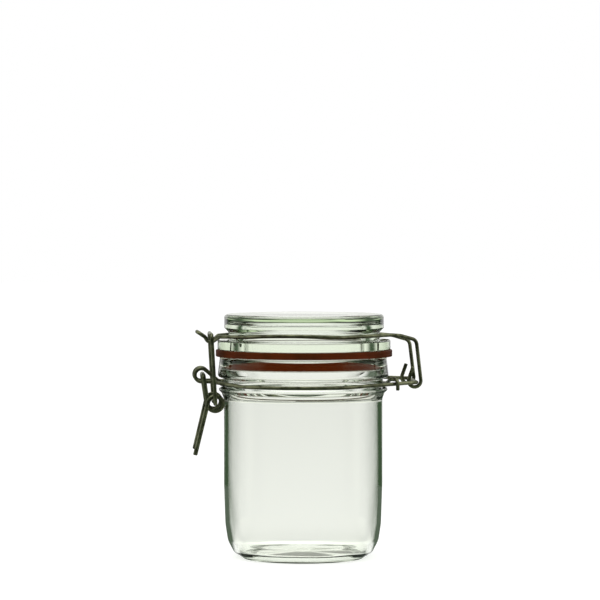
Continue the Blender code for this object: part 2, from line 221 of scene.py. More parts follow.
def lightRoom(panels):
    # an even room for matt surfaces, lit panels for glass and metal, white for the camera
    room = bpy.data.worlds.new("studio")
    scene.world = room
    room.use_nodes = True
    tree = room.node_tree
    tree.nodes.clear()
    out = addNode(tree, "ShaderNodeOutputWorld", (1200, 0))
    even = feed(addNode(tree, "ShaderNodeBackground", (600, 150)),
                Color=(1, 1, 1, 1), Strength=studio["roomLevel"])
    lit = addNode(tree, "ShaderNodeBackground", (600, 0))
    white = feed(addNode(tree, "ShaderNodeBackground", (600, -150)), Color=(1, 1, 1, 1))
    ways = addNode(tree, "ShaderNodeLightPath", (400, 450))
    clear = addMath(tree, "SUBTRACT", (600, 350), use_clamp=True)
    shiny = addNode(tree, "ShaderNodeMixShader", (800, 100))
    mix = addNode(tree, "ShaderNodeMixShader", (1000, 0))
    place = addNode(tree, "ShaderNodeTexCoord", (-600, 0))
    panel = addNode(tree, "ShaderNodeGroup", (-400, 0), node_tree=panels)
    split = addNode(tree, "ShaderNodeSeparateXYZ", (-400, -250))
    height = addMath(tree, "ABSOLUTE", (-200, -250))
    above = addRange(tree, (0, -250), span=studio["overhead"], smooth=True)
    either = addMath(tree, "MAXIMUM", (200, 0))
    tone = addNode(tree, "ShaderNodeMix", (400, 0), data_type="RGBA")
    tone.inputs[6].default_value = (*studio["gapTone"], 1)
    tone.inputs[7].default_value = (*studio["panelTone"], 1)
    join(place, "Generated", panel, "Way")
    join(place, "Generated", split, 0)
    join(split, "Z", height, 0)
    join(height, 0, above, "Value")
    join(panel, "Wide", either, 0)
    join(above, "Result", either, 1)
    join(either, 0, tone, 0)
    join(tone, 2, lit, "Color")
    # light for a matt surface comes from the even room, through glass too
    join(ways, "Is Glossy Ray", clear, 0)
    join(ways, "Diffuse Depth", clear, 1)
    join(clear, 0, shiny, 0)
    join(even, 0, shiny, 1)
    join(lit, 0, shiny, 2)
    join(ways, "Is Camera Ray", mix, 0)
    join(shiny, 0, mix, 1)
    join(white, 0, mix, 2)
    join(mix, 0, out, "Surface")
    addLamp("topSoftbox", *studio["topLamp"])
    addLamp("sideSoftbox", *studio["sideLamp"])


def layFloor(panels):
    sheet = bpy.data.meshes.new("floor")
    reach = studio["floorReach"]
    sheet.from_pydata([(-reach, -reach, 0), (reach, -reach, 0), (reach, reach, 0), (-reach, reach, 0)],
                      [], [(0, 1, 2, 3)])
    floor = bpy.data.objects.new("floor", sheet)
    floor.location.z = -studio["floorDrop"]
    scene.collection.objects.link(floor)
    paper = bpy.data.materials.new("whiteSweep")
    paper.use_nodes = True
    tree = paper.node_tree
    tree.nodes.clear()
    out = addNode(tree, "ShaderNodeOutputMaterial", (1000, 0))
    matt = feed(addNode(tree, "ShaderNodeBsdfDiffuse", (200, 0)), Color=(studio["floorTone"],) * 3 + (1,))
    glow = addNode(tree, "ShaderNodeEmission", (400, -150))
    dark = feed(addNode(tree, "ShaderNodeEmission", (600, -250)), Color=(*studio["gapTone"], 1))
    ways = addNode(tree, "ShaderNodeLightPath", (-400, 300))
    clear = addMath(tree, "SUBTRACT", (-200, 300), use_clamp=True)
    less = addMath(tree, "MULTIPLY", (0, 300))
    # glass and metal see the floor glow more under the jar: a painted pool of light there
    under = addRange(tree, (-200, 100), span=studio["underJar"], result=studio["floorSeen"], smooth=True)
    most = addMath(tree, "MULTIPLY_ADD", (200, 300), second=studio["floorGlow"])
    add = addNode(tree, "ShaderNodeAddShader", (600, 0))
    # glass and metal see the floor dark between the panels, away from the jar
    place = addNode(tree, "ShaderNodeTexCoord", (-600, -400))
    panel = addNode(tree, "ShaderNodeGroup", (-400, -400), node_tree=panels)
    away = addRange(tree, (-200, -500), span=studio["nearFloor"], smooth=True)
    innerAway = addMath(tree, "MULTIPLY", (-300, -500), second=studio["innerNear"])
    farther = addMath(tree, "MAXIMUM", (-100, -500))
    gap = addMath(tree, "SUBTRACT", (-200, -350))
    gap.inputs[0].default_value = 1.0
    beyond = addRange(tree, (-200, -700), span=studio["tableEnd"], smooth=True)
    lit = addNode(tree, "ShaderNodeMix", (-300, -250), data_type="FLOAT")
    both = addMath(tree, "MULTIPLY", (0, -400))
    seen = addMath(tree, "MULTIPLY", (200, -400))
    pick = addNode(tree, "ShaderNodeMixShader", (800, 0))
    join(ways, "Is Glossy Ray", clear, 0)
    join(ways, "Diffuse Depth", clear, 1)
    join(clear, 0, less, 0)
    join(panel, "Reach", under, "Value")
    join(under, "Result", less, 1)
    join(ways, "Is Camera Ray", most, 0)
    join(less, 0, most, 2)
    join(most, 0, glow, "Strength")
    join(matt, 0, add, 0)
    join(glow, 0, add, 1)
    join(place, "Object", panel, "Way")
    join(panel, "Reach", beyond, "Value")
    join(beyond, "Result", lit, 0)
    join(panel, "Narrow", lit, 2)
    join(panel, "Wide", lit, 3)
    join(lit, 0, gap, 1)
    join(panel, "Inner", innerAway, 0)
    join(panel, "Reach", away, "Value")
    join(away, "Result", farther, 0)
    join(innerAway, 0, farther, 1)
    join(gap, 0, both, 0)
    join(farther, 0, both, 1)
    join(both, 0, seen, 0)
    join(clear, 0, seen, 1)
    join(seen, 0, pick, 0)
    join(add, 0, pick, 1)
    join(dark, 0, pick, 2)
    join(pick, 0, out, "Surface")
    sheet.materials.append(paper)


scene.view_settings.view_transform = "Standard"
placeCamera()
litPanels = panelGroup()
lightRoom(litPanels)
layFloor(litPanels)
print("camera, floor and lamps are in place")


straight = math.radians(0.5)     # a path that turns less than this needs no rounding
legShare = 0.48                  # how much of each leg a rounding may take


def filleted(corners, step, fewest=2):
    # corners are (point, rounding); a rounding of 0 keeps the point as it is
    path = []
    for i, (point, radius) in enumerate(corners):
        if radius <= 0 or i == 0 or i == len(corners) - 1:
            path.append(point.copy())
            continue
        back = corners[i - 1][0] - point
        ahead = corners[i + 1][0] - point
        turn = math.pi - back.angle(ahead)
        if turn < straight:
            path.append(point.copy())
            continue
        reach = min(radius * math.tan(turn / 2), legShare * back.length, legShare * ahead.length)
        radius = reach / math.tan(turn / 2)
        back, ahead = back.normalized(), ahead.normalized()
        centre = point + (back + ahead).normalized() * radius / math.cos(turn / 2)
        start = point + back * reach - centre
        side = -back * radius
        count = max(fewest, math.ceil(turn / step))
        for k in range(count + 1):
            a = turn * k / count
            path.append(centre + start * math.cos(a) + side * math.sin(a))
    return path


def spaced(path, longest):
    # adds points so that no stretch of a path is longer than this
    out = [path[0]]
    for a, b in zip(path, path[1:]):
        count = max(1, math.ceil((b - a).length / longest))
        out += [a.lerp(b, k / count) for k in range(1, count + 1)]
    return out


def profileOf(corners, step=math.radians(9), longest=2.2 * mm):
    # corners are (radius, height, rounding)
    path = filleted([(Vector((r, 0.0, z)), bend) for r, z, bend in corners], step)
    return [(max(p.x, 0.0), p.z) for p in spaced(path, longest)]


def turnedMesh(name, profile, segments, ripple):
    # ripple(index, angle, radius, height) gives the change in radius and height
    closed = profile[0][0] > 0 and profile[-1][0] > 0
    shell = bmesh.new()
    rings = []
    for i, (r, z) in enumerate(profile):
        if r < 1e-6:
            rings.append([shell.verts.new((0, 0, z))])
            continue
        ring = []
        for k in range(segments):
            a = math.tau * k / segments
            dr, dz = ripple(i, a, r, z)
            ring.append(shell.verts.new(((r + dr) * math.cos(a), (r + dr) * math.sin(a), z + dz)))
        rings.append(ring)
    pairs = list(zip(rings, rings[1:]))
    if closed:
        pairs.append((rings[-1], rings[0]))
    for low, high in pairs:
        for k in range(segments):
            n = (k + 1) % segments
            if len(low) == 1:
                shell.faces.new((low[0], high[n], high[k]))
            elif len(high) == 1:
                shell.faces.new((low[k], low[n], high[0]))
            else:
                shell.faces.new((low[k], low[n], high[n], high[k]))
    bmesh.ops.recalc_face_normals(shell, faces=shell.faces)
    mesh = bpy.data.meshes.new(name)
    shell.to_mesh(mesh)
    shell.free()
    mesh.shade_smooth()
    return mesh


def addPiece(name, mesh, finish, body, node):
    piece = bpy.data.objects.new(name, mesh)
    scene.collection.objects.link(piece)
    if finish is not None:
        piece.data.materials.append(finish)
    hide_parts(node)
    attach(piece, body)


glassLook = {
    "ior": 1.52,
    "roughness": 0.0,
    "sheen": (0.25, 0.28, 0.20),      # what a face mirrors, as shares of what real glass does
    "shadow": (0.93, 0.96, 0.92),     # how much light a wall lets through to what is behind it
    "waveDepth": 0.02 * mm,
}


def glassFinish(name, piece):
    finish = bpy.data.materials.new(name)
    finish.use_nodes = True
    tree = finish.node_tree
    tree.nodes.clear()
    out = addNode(tree, "ShaderNodeOutputMaterial", (800, 0))
    glass = addNode(tree, "ShaderNodeBsdfPrincipled", (200, 0))
    feed(glass, Base_Color=(*piece["face"], 1), Roughness=glassLook["roughness"], IOR=glassLook["ior"],
         Transmission_Weight=1.0, Specular_Tint=(*glassLook["sheen"], 1))
    place = addNode(tree, "ShaderNodeTexCoord", (-800, -200))
    wave = feed(addNode(tree, "ShaderNodeTexNoise", (-400, -200)),
                Scale=piece["waveScale"], Detail=2.0, Roughness=0.45)
    bump = feed(addNode(tree, "ShaderNodeBump", (-100, -200)), Distance=glassLook["waveDepth"])
    join(place, "Object", wave, "Vector")
    join(wave, 0, bump, "Height")
    join(bump, 0, glass, "Normal")
    clear = feed(addNode(tree, "ShaderNodeBsdfTransparent", (200, -450)), Color=(*glassLook["shadow"], 1))
    ways = addNode(tree, "ShaderNodeLightPath", (200, 350))
    mix = addNode(tree, "ShaderNodeMixShader", (550, 0))
    join(ways, "Is Shadow Ray", mix, 0)
    join(glass, 0, mix, 1)
    join(clear, 0, mix, 2)
    join(mix, 0, out, "Surface")
    body = feed(addNode(tree, "ShaderNodeVolumeAbsorption", (550, -250)),
                Color=(*piece["tint"], 1), Density=piece["density"])
    join(body, 0, out, "Volume")
    return finish


jar = {
    "height": 108.7 * mm,
    "bodyRadius": 42.9 * mm,
    "wall": 2.2 * mm,
    "floorZ": 2.8 * mm,
    "floorRise": 0.8 * mm,
    "footRadius": 32.6 * mm,
    "footWidth": 4.4 * mm,
    "footRecess": 1.3 * mm,           # the middle of the base stands this high
    "footSlope": 3 * mm,
    "footRounds": (2 * mm, 1.0 * mm, 0.8 * mm),
    "edge": 0.8 * mm,                 # the rounding of the groove's and the mouth's edges
    "heelHeight": 40.0 * mm,
    # the heel's curve: shares of the step from foot to body and of the heel's height, then a rounding
    "heel": ((0.455, 0.0725, 5 * mm), (0.79, 0.235, 10 * mm), (0.925, 0.4625, 30 * mm)),
    "heelRound": 60 * mm,
    "shoulderZ": 86.2 * mm,
    "shoulderRound": 6 * mm,
    "shoulderInside": (4 * mm, 8 * mm),     # how much lower it is inside, and its rounding there
    "grooveZ": 95.0 * mm,
    "grooveHalf": 2.0 * mm,
    "grooveRadius": 43.2 * mm,
    "upperBead": 46.2 * mm,
    "lowerBead": 45.8 * mm,
    # a bead's corners: out from its radius, up from the groove's edge, rounding
    "upperCorners": ((-0.4 * mm, 1.1 * mm, 0.6 * mm), (0, 2.2 * mm, 1.2 * mm)),
    "lowerCorners": ((-1.7 * mm, -3.7 * mm, 1.5 * mm), (0, -2.0 * mm, 0.9 * mm),
                     (-0.4 * mm, -1.0 * mm, 0.6 * mm)),
    "rimRadius": 45.1 * mm,
    "rimRound": 1.1 * mm,
    "mouthRadius": 37.7 * mm,
    "rimLip": 0.6 * mm,
    "mouthDepth": 1.4 * mm,
    "flareOut": 5.7 * mm,             # the bore widens below the mouth; this slope mirrors the rubber ring
    "flareDown": 5.0 * mm,
    "grooveWall": 2.2 * mm,
    "grooveInside": (0.5 * mm, 3.0 * mm),   # how far over the groove the bore turns, and its rounding
    "floorEdge": (1.2 * mm, 2.5 * mm),      # how far in from the foot the floor begins, its rounding
    "innerRadius": 40.7 * mm,
    "segments": 240,
    "innerRipple": (0.06 * mm, 9.7),  # depth and seed of the waves in the wall
    "outerRipple": (0.02 * mm, 3.1),
    "wavesRound": 1.6,                # how close the waves are round the wall
    "waveHeight": 26 * mm,
    "rimFade": 8 * mm,                # they die out this close to the rim
    "rimShare": 0.15,                 # but inside it this much of them is left
    "footFade": (3 * mm, 6 * mm),     # outside they start this high, and are full this much higher
    "middleFade": 20 * mm,            # and on the floor they die out this close to its middle
    "floorWaves": (2 * mm, 4),        # this near the floor they go up and down, so many times deeper
    "latchward": 0.45 * mm,           # the jar stands this much to the latch side of its clamp
    "face": (0.975, 0.985, 0.955),    # what each face lets through
    "tint": (0.56, 0.75, 0.31),       # what the volume lets through, for the faint bottle green
    "density": 12.5,                  # per metre
    "waveScale": 55.0,
}


def inset(corners, wall):
    # the inner side of a wall that follows these corners, apart from its two ends
    made = []
    for (r0, z0, _), (r1, z1, bend), (r2, z2, _) in zip(corners, corners[1:], corners[2:]):
        first = Vector((z0 - z1, r1 - r0)).normalized()
        second = Vector((z1 - z2, r2 - r1)).normalized()
        mitre = (first + second).normalized()
        mitre *= wall / mitre.dot(first)
        made.append((r1 + mitre.x, z1 + mitre.y, max(bend - wall, 1 * mm)))
    return made


def jarProfile():
    j = jar
    step = j["bodyRadius"] - j["footRadius"]
    grooveFoot = j["grooveZ"] - j["grooveHalf"]
    grooveTop = j["grooveZ"] + j["grooveHalf"]
    flareTop = j["height"] - j["mouthDepth"]
    heel = [(j["footRadius"] + out * step, up * j["heelHeight"], bend) for out, up, bend in j["heel"]]
    slopeRound, innerRound, outerRound = j["footRounds"]
    outside = [(0.0, j["footRecess"], 0),
               (j["footRadius"] - j["footWidth"] - j["footSlope"], j["footRecess"], slopeRound),
               (j["footRadius"] - j["footWidth"], 0.0, innerRound),
               (j["footRadius"], 0.0, outerRound)]
    outside += heel
    outside += [(j["bodyRadius"], j["heelHeight"], j["heelRound"]),
                (j["bodyRadius"], j["shoulderZ"], j["shoulderRound"])]
    outside += [(j["lowerBead"] + out, grooveFoot + up, bend) for out, up, bend in j["lowerCorners"]]
    outside += [(j["grooveRadius"], grooveFoot, j["edge"]), (j["grooveRadius"], grooveTop, j["edge"])]
    outside += [(j["upperBead"] + out, grooveTop + up, bend) for out, up, bend in j["upperCorners"]]
    outside += [(j["rimRadius"], j["height"], j["rimRound"])]
    foot, body = (j["footRadius"], 0.0, 0), (j["bodyRadius"], j["heelHeight"], 0)
    overGroove, grooveRound = j["grooveInside"]
    lower, lowerRound = j["shoulderInside"]
    floorIn, floorRound = j["floorEdge"]
    inside = [(j["mouthRadius"] + j["rimLip"], j["height"], j["rimLip"]),
              (j["mouthRadius"], flareTop, j["edge"]),
              (j["mouthRadius"] + j["flareOut"], flareTop - j["flareDown"], j["edge"]),
              (j["grooveRadius"] - j["grooveWall"], grooveTop + overGroove, grooveRound),
              (j["innerRadius"], j["shoulderZ"] - lower, lowerRound),
              (j["innerRadius"], j["heelHeight"], j["heelRound"])]
    inside += reversed(inset([foot] + heel + [body], j["wall"]))
    inside += [(j["footRadius"] - floorIn, j["floorZ"], floorRound),
               (0.0, j["floorZ"] + j["floorRise"], 0)]
    first = profileOf(outside)
    return first + profileOf(inside), len(first)


def jarRipple(outerCount):
    # the waves die out towards the foot and the rim, and the floor has deeper ones
    closeness = jar["wavesRound"]
    footStart, footLength = jar["footFade"]
    floorSkin, deeper = jar["floorWaves"]

    def ripple(i, a, r, z):
        outside = i < outerCount
        depth, seed = jar["outerRipple"] if outside else jar["innerRipple"]
        belowRim = (jar["height"] - z) / jar["rimFade"]
        if outside:
            ease = min(1.0, max(0.0, (z - footStart) / footLength), max(0.0, belowRim))
        else:
            ease = min(1.0, r / jar["middleFade"], max(jar["rimShare"], belowRim))
        spot = Vector((math.cos(a) * closeness + seed, math.sin(a) * closeness, z / jar["waveHeight"]))
        push = depth * ease * noise.noise(spot)
        if outside:
            return min(push, 0.0), 0.0
        if z < jar["floorZ"] + floorSkin:
            return 0.0, deeper * push
        return push, 0.0
    return ripple


def makeJar():
    profile, outerCount = jarProfile()
    mesh = turnedMesh("jarGlass", profile, jar["segments"], jarRipple(outerCount))
    mesh.transform(Matrix.Translation((-jar["latchward"], 0, 0)))
    addPiece("jarGlass", mesh, glassFinish("jarGlassFinish", jar), "jar", "jar_body")


makeJar()
print("jar turned")


lid = {
    "flangeZ": 112.8 * mm,
    "flangeRadius": 46.8 * mm,
    "neckZ": 117.9 * mm,
    "neckRadius": 41.0 * mm,
    "undercutZ": 122.2 * mm,
    "discZ": 124.4 * mm,
    "discRadius": 43.2 * mm,
    "topZ": 131.8 * mm,
    "dome": 0.4 * mm,
    "roofZ": 128.3 * mm,
    "plugRadius": 36.2 * mm,
    "plugLow": 35.6 * mm,
    "plugFoot": 107.2 * mm,
    "cavityLow": 33.4 * mm,
    "cavityDraw": 1.4 * mm,    # the hollow gets this much narrower up to its roof
    "segments": 240,
    "ripple": (0.12 * mm, 5.3),     # depth and seed of its waves
    "waveWidth": 14 * mm,
    "waveHeight": 30 * mm,
    "middleFade": 15 * mm,          # they die out this close to the axis
    "topSkin": 1.5 * mm,            # down to here they go up and down
    "footSkin": 1 * mm,             # and up to here only inwards
    "domeShoulder": (30 * mm, 0.25, 20 * mm),   # radius, share of the dome's height, rounding
    "face": (1, 1, 1),
    "tint": (0.48, 0.73, 0.22),
    "density": 11.0,
    "waveScale": 70.0,
}


def lidProfile():
    c = lid
    domeRadius, domeShare, domeRound = c["domeShoulder"]
    hollow = [(0.0, c["roofZ"], 0), (c["cavityLow"] - c["cavityDraw"], c["roofZ"], 3.0 * mm)]
    outside = [(c["cavityLow"], c["plugFoot"], 0.8 * mm), (c["plugLow"], c["plugFoot"], 0.8 * mm),
               (c["plugRadius"], c["flangeZ"] - 0.5 * mm, 0.3 * mm),
               (c["plugRadius"], c["flangeZ"], 0.2 * mm),
               (c["flangeRadius"], c["flangeZ"], 0.4 * mm), (c["flangeRadius"], c["neckZ"], 0.9 * mm),
               (c["neckRadius"], c["neckZ"], 0.5 * mm), (c["neckRadius"], c["undercutZ"], 0.8 * mm),
               (c["discRadius"], c["discZ"], 0.6 * mm), (c["discRadius"], c["topZ"], 2.0 * mm),
               (domeRadius, c["topZ"] + domeShare * c["dome"], domeRound),
               (0.0, c["topZ"] + c["dome"], 0)]
    return profileOf(hollow + outside)


def lidRipple(i, a, r, z):
    # only inwards where the lid's size counts
    depth, seed = lid["ripple"]
    ease = min(1.0, r / lid["middleFade"])
    width = lid["waveWidth"]
    spot = Vector((math.cos(a) * r / width + seed, math.sin(a) * r / width, z / lid["waveHeight"]))
    push = depth * ease * noise.noise(spot)
    if z > lid["topZ"] - lid["topSkin"]:
        return 0.0, min(push, 0.0)
    if z < lid["plugFoot"] + lid["footSkin"] or r > lid["neckRadius"]:
        return min(push, 0.0), 0.0
    return push, 0.0


def makeLid():
    mesh = turnedMesh("lidGlass", lidProfile(), lid["segments"], lidRipple)
    addPiece("lidGlass", mesh, glassFinish("lidGlassFinish", lid), "lid", "glass_lid")


makeLid()
print("lid turned")


ringSeal = {
    "low": 109.0 * mm,
    "high": 112.5 * mm,
    "inner": 36.5 * mm,
    "outer": 47.7 * mm,
    "partingHalf": 0.15 * mm,           # half the width of the moulded line round the rim
    "partingDepth": 0.12 * mm,
    "wear": 0.12 * mm,                  # how uneven the rim is
    "wearWaves": 3,                     # how close its uneven places are
    "wearSkin": 1 * mm,                 # only this close to the rim
    "edge": 0.4 * mm,
    "sharp": math.radians(60),          # an edge that turns more is kept sharp
    "segments": 240,
    "colour": (0.073, 0.0135, 0.0014),
    "pale": (1.35, 1.2, 1.2),           # the mottling, as shares of the colour
    "deep": (0.65, 0.8, 0.8),
    "toneStops": (0.3, 0.7),
    "paintedGlow": (0.056, 0.006, 0.0003),   # painted glow: downward faces emit a faint red light of their own, standing in for light that would soak through the rubber
    "paintedGlowEdges": (-0.6, -0.9),        # how far down a face must look to get that painted glow
    "mottleScale": 90.0,
    "grainScale": 1400.0,
    "grainDepth": 0.03 * mm,
    "roughness": (0.42, 0.62),
    "gloss": 0.05,
}


def rubberFinish():
    finish = bpy.data.materials.new("redRubber")
    finish.use_nodes = True
    tree = finish.node_tree
    rubber = tree.nodes["Principled BSDF"]
    feed(rubber, IOR=1.5, Specular_IOR_Level=ringSeal["gloss"], Emission_Color=(*ringSeal["paintedGlow"], 1))
    place = addNode(tree, "ShaderNodeTexCoord", (-1000, 0))
    cloud = feed(addNode(tree, "ShaderNodeTexNoise", (-700, 200)),
                 Scale=ringSeal["mottleScale"], Detail=4.0, Roughness=0.6)
    grain = feed(addNode(tree, "ShaderNodeTexNoise", (-700, -200)),
                 Scale=ringSeal["grainScale"], Detail=3.0, Roughness=0.6)
    tone = addNode(tree, "ShaderNodeValToRGB", (-400, 200))
    for stop, position, shares in zip(tone.color_ramp.elements, ringSeal["toneStops"],
                                      (ringSeal["deep"], ringSeal["pale"])):
        stop.position = position
        stop.color = [base * share for base, share in zip(ringSeal["colour"], shares)] + [1]
    # painted light: faces that look down glow faintly red, though the rubber is no lamp
    below = addNode(tree, "ShaderNodeSeparateXYZ", (-700, -500))
    paintedGlow = addRange(tree, (-400, -500), span=ringSeal["paintedGlowEdges"])
    rough = addRange(tree, (-400, -50), result=ringSeal["roughness"])
    bump = feed(addNode(tree, "ShaderNodeBump", (-300, -300)),
                Strength=0.5, Distance=ringSeal["grainDepth"])
    join(place, "Object", cloud, "Vector")
    join(place, "Object", grain, "Vector")
    join(cloud, 0, tone, 0)
    join(tone, 0, rubber, "Base Color")
    join(place, "Normal", below, 0)
    join(below, "Z", paintedGlow, "Value")
    join(paintedGlow, "Result", rubber, "Emission Strength")
    join(grain, 0, rough, "Value")
    join(rough, 0, rubber, "Roughness")
    join(grain, 0, bump, "Height")
    join(bump, 0, rubber, "Normal")
    return finish


def makeSeal():
    s = ringSeal
    mid = (s["low"] + s["high"]) / 2
    corners = [(s["inner"], s["low"], 0), (s["outer"], s["low"], s["edge"]),
               (s["outer"], mid - s["partingHalf"], 0.1 * mm),
               (s["outer"] - s["partingDepth"], mid, 0.05 * mm),
               (s["outer"], mid + s["partingHalf"], 0.1 * mm),
               (s["outer"], s["high"], s["edge"]), (s["inner"], s["high"], 0)]
    profile = profileOf(corners, step=math.radians(18), longest=1.5 * mm)

    def ripple(i, a, r, z):
        if r < s["outer"] - s["wearSkin"]:
            return 0.0, 0.0
        spot = Vector((math.cos(a) * s["wearWaves"], math.sin(a) * s["wearWaves"], 2.0))
        return -s["wear"] * abs(noise.noise(spot)), 0.0
    mesh = turnedMesh("redSeal", profile, s["segments"], ripple)
    mesh.set_sharp_from_angle(angle=s["sharp"])
    addPiece("redSeal", mesh, rubberFinish(), "lid", "rubber_gasket")


makeSeal()
print("rubber ring made")


wireLook = {
    "sides": 24,
    "spacing": 0.35 * mm,      # length of one facet along a wire
    "tipChamfer": 0.35 * mm,
    "tipSize": 0.72,           # a cut end's thickness, as a share of the wire's
    "sharp": math.radians(48),
    "colour": (0.235, 0.245, 0.150),
    "dark": (0.050, 0.054, 0.030),
    "toneStops": (0.35, 0.62),
    "roughness": (0.26, 0.50),
    "cloudScale": 140.0,
    "speckScale": 1500.0,
    "linesAlong": 60.0,        # drawn lines are long along the wire and fine round it
    "linesRound": 26.0,
    "lineDepth": 0.02 * mm,
}


def steelFinish(name, shift):
    # shift moves the pattern, so that no two wires look alike
    finish = bpy.data.materials.new(name)
    finish.use_nodes = True
    tree = finish.node_tree
    steel = tree.nodes["Principled BSDF"]
    feed(steel, Metallic=1.0)
    place = addNode(tree, "ShaderNodeTexCoord", (-1200, 0))
    move = addNode(tree, "ShaderNodeMapping", (-1000, 0))
    move.inputs["Location"].default_value = (shift, 0, 0)
    cloud = feed(addNode(tree, "ShaderNodeTexNoise", (-700, 250)),
                 Scale=wireLook["cloudScale"], Detail=5.0, Roughness=0.65)
    speck = feed(addNode(tree, "ShaderNodeTexNoise", (-700, 0)),
                 Scale=wireLook["speckScale"], Detail=3.0, Roughness=0.6)
    tone = addNode(tree, "ShaderNodeValToRGB", (-400, 250))
    for stop, position, colour in zip(tone.color_ramp.elements, wireLook["toneStops"],
                                      (wireLook["dark"], wireLook["colour"])):
        stop.position = position
        stop.color = (*colour, 1)
    rough = addRange(tree, (-400, -50), result=wireLook["roughness"])
    # the lines follow the wire by its along and around attributes
    along = addNode(tree, "ShaderNodeAttribute", (-1200, -400), attribute_name="along")
    around = addNode(tree, "ShaderNodeAttribute", (-1200, -600), attribute_name="around")
    weave = addNode(tree, "ShaderNodeCombineXYZ", (-950, -450))
    slow = addMath(tree, "MULTIPLY", (-1050, -400), second=wireLook["linesAlong"])
    quick = addMath(tree, "MULTIPLY", (-1050, -600), second=wireLook["linesRound"])
    lines = feed(addNode(tree, "ShaderNodeTexNoise", (-700, -450)), Scale=1.0, Detail=3.0, Roughness=0.7)
    bump = feed(addNode(tree, "ShaderNodeBump", (-300, -350)),
                Strength=0.6, Distance=wireLook["lineDepth"])
    join(place, "Object", move, "Vector")
    join(move, 0, cloud, "Vector")
    join(move, 0, speck, "Vector")
    join(cloud, 0, tone, 0)
    join(tone, 0, steel, "Base Color")
    join(speck, 0, rough, "Value")
    join(rough, 0, steel, "Roughness")
    join(along, "Fac", slow, 0)
    join(around, "Fac", quick, 0)
    join(slow, 0, weave, 0)
    join(quick, 0, weave, 1)
    join(weave, 0, lines, "Vector")
    join(lines, 0, bump, "Height")
    join(bump, 0, steel, "Normal")
    return finish


def wireTree(name, finish):
    # turns a chain of edges into a round drawn wire with chamfered cut ends
    tree = bpy.data.node_groups.new(name, "GeometryNodeTree")
    for label, kind in (("Path", "Geometry"), ("Wire Radius", "Float"), ("Facet Length", "Float"),
                        ("Sides", "Int"), ("Tip Chamfer", "Float")):
        tree.interface.new_socket(label, in_out="INPUT", socket_type="NodeSocket" + kind)
    tree.interface.new_socket("Wire", in_out="OUTPUT", socket_type="NodeSocketGeometry")
    start = addNode(tree, "NodeGroupInput", (-1600, 0))
    end = addNode(tree, "NodeGroupOutput", (1400, 0))
    chain = addNode(tree, "GeometryNodeMeshToCurve", (-1350, 0))
    even = addNode(tree, "GeometryNodeResampleCurve", (-1150, 0), mode="LENGTH")
    join(start, "Path", chain, "Mesh")
    join(chain, "Curve", even, "Curve")
    join(start, "Facet Length", even, "Length")
    # distance from the nearer end, for the chamfer
    place = addNode(tree, "GeometryNodeSplineParameter", (-1350, -400))
    whole = addNode(tree, "GeometryNodeSplineLength", (-1350, -550))
    left = addMath(tree, "SUBTRACT", (-1150, -450))
    near = addMath(tree, "MINIMUM", (-1000, -400))
    slope = addRange(tree, (-850, -400), result=(wireLook["tipSize"], 1.0))
    join(whole, "Length", left, 0)
    join(place, "Length", left, 1)
    join(place, "Length", near, 0)
    join(left, 0, near, 1)
    join(near, 0, slope, "Value")
    join(start, "Tip Chamfer", slope, "From Max")
    keepAlong = addNode(tree, "GeometryNodeCaptureAttribute", (-650, 0), domain="POINT")
    keepAlong.capture_items.new("FLOAT", "along")
    join(even, "Curve", keepAlong, "Geometry")
    join(place, "Length", keepAlong, "along")
    ring = addNode(tree, "GeometryNodeCurvePrimitiveCircle", (-650, -300), mode="RADIUS")
    join(start, "Sides", ring, "Resolution")
    join(start, "Wire Radius", ring, "Radius")
    keepRound = addNode(tree, "GeometryNodeCaptureAttribute", (-400, -300), domain="POINT")
    keepRound.capture_items.new("FLOAT", "around")
    roundPlace = addNode(tree, "GeometryNodeSplineParameter", (-650, -500))
    # a wave round the wire, so the two edges of the seam agree
    lap = addMath(tree, "PINGPONG", (-500, -520), second=0.5)
    join(roundPlace, "Factor", lap, 0)
    join(ring, "Curve", keepRound, "Geometry")
    join(lap, 0, keepRound, "around")
    sweep = addNode(tree, "GeometryNodeCurveToMesh", (-150, 0))
    sweep.inputs["Fill Caps"].default_value = True
    join(keepAlong, "Geometry", sweep, "Curve")
    join(keepRound, "Geometry", sweep, "Profile Curve")
    join(slope, "Result", sweep, "Scale")
    storeAlong = feed(addNode(tree, "GeometryNodeStoreNamedAttribute", (150, 0)), Name="along")
    storeRound = feed(addNode(tree, "GeometryNodeStoreNamedAttribute", (400, 0)), Name="around")
    join(sweep, "Mesh", storeAlong, "Geometry")
    join(keepAlong, "along", storeAlong, "Value")
    join(storeAlong, "Geometry", storeRound, "Geometry")
    join(keepRound, "around", storeRound, "Value")
    smooth = addNode(tree, "GeometryNodeSetShadeSmooth", (650, 0))
    real = addNode(tree, "GeometryNodeRealizeInstances", (900, 0))
    paint = addNode(tree, "GeometryNodeSetMaterial", (1150, 0))
    paint.inputs["Material"].default_value = finish
    join(storeRound, "Geometry", smooth, "Geometry")
    join(smooth, "Geometry", real, "Geometry")
    join(real, "Geometry", paint, "Geometry")
    join(paint, "Geometry", end, "Wire")
    return tree


def setInput(modifier, name, value):
    # a tree's input is set by its identifier
    for item in modifier.node_group.interface.items_tree:
        if item.name == name and item.in_out == "INPUT":
            modifier[item.identifier] = value


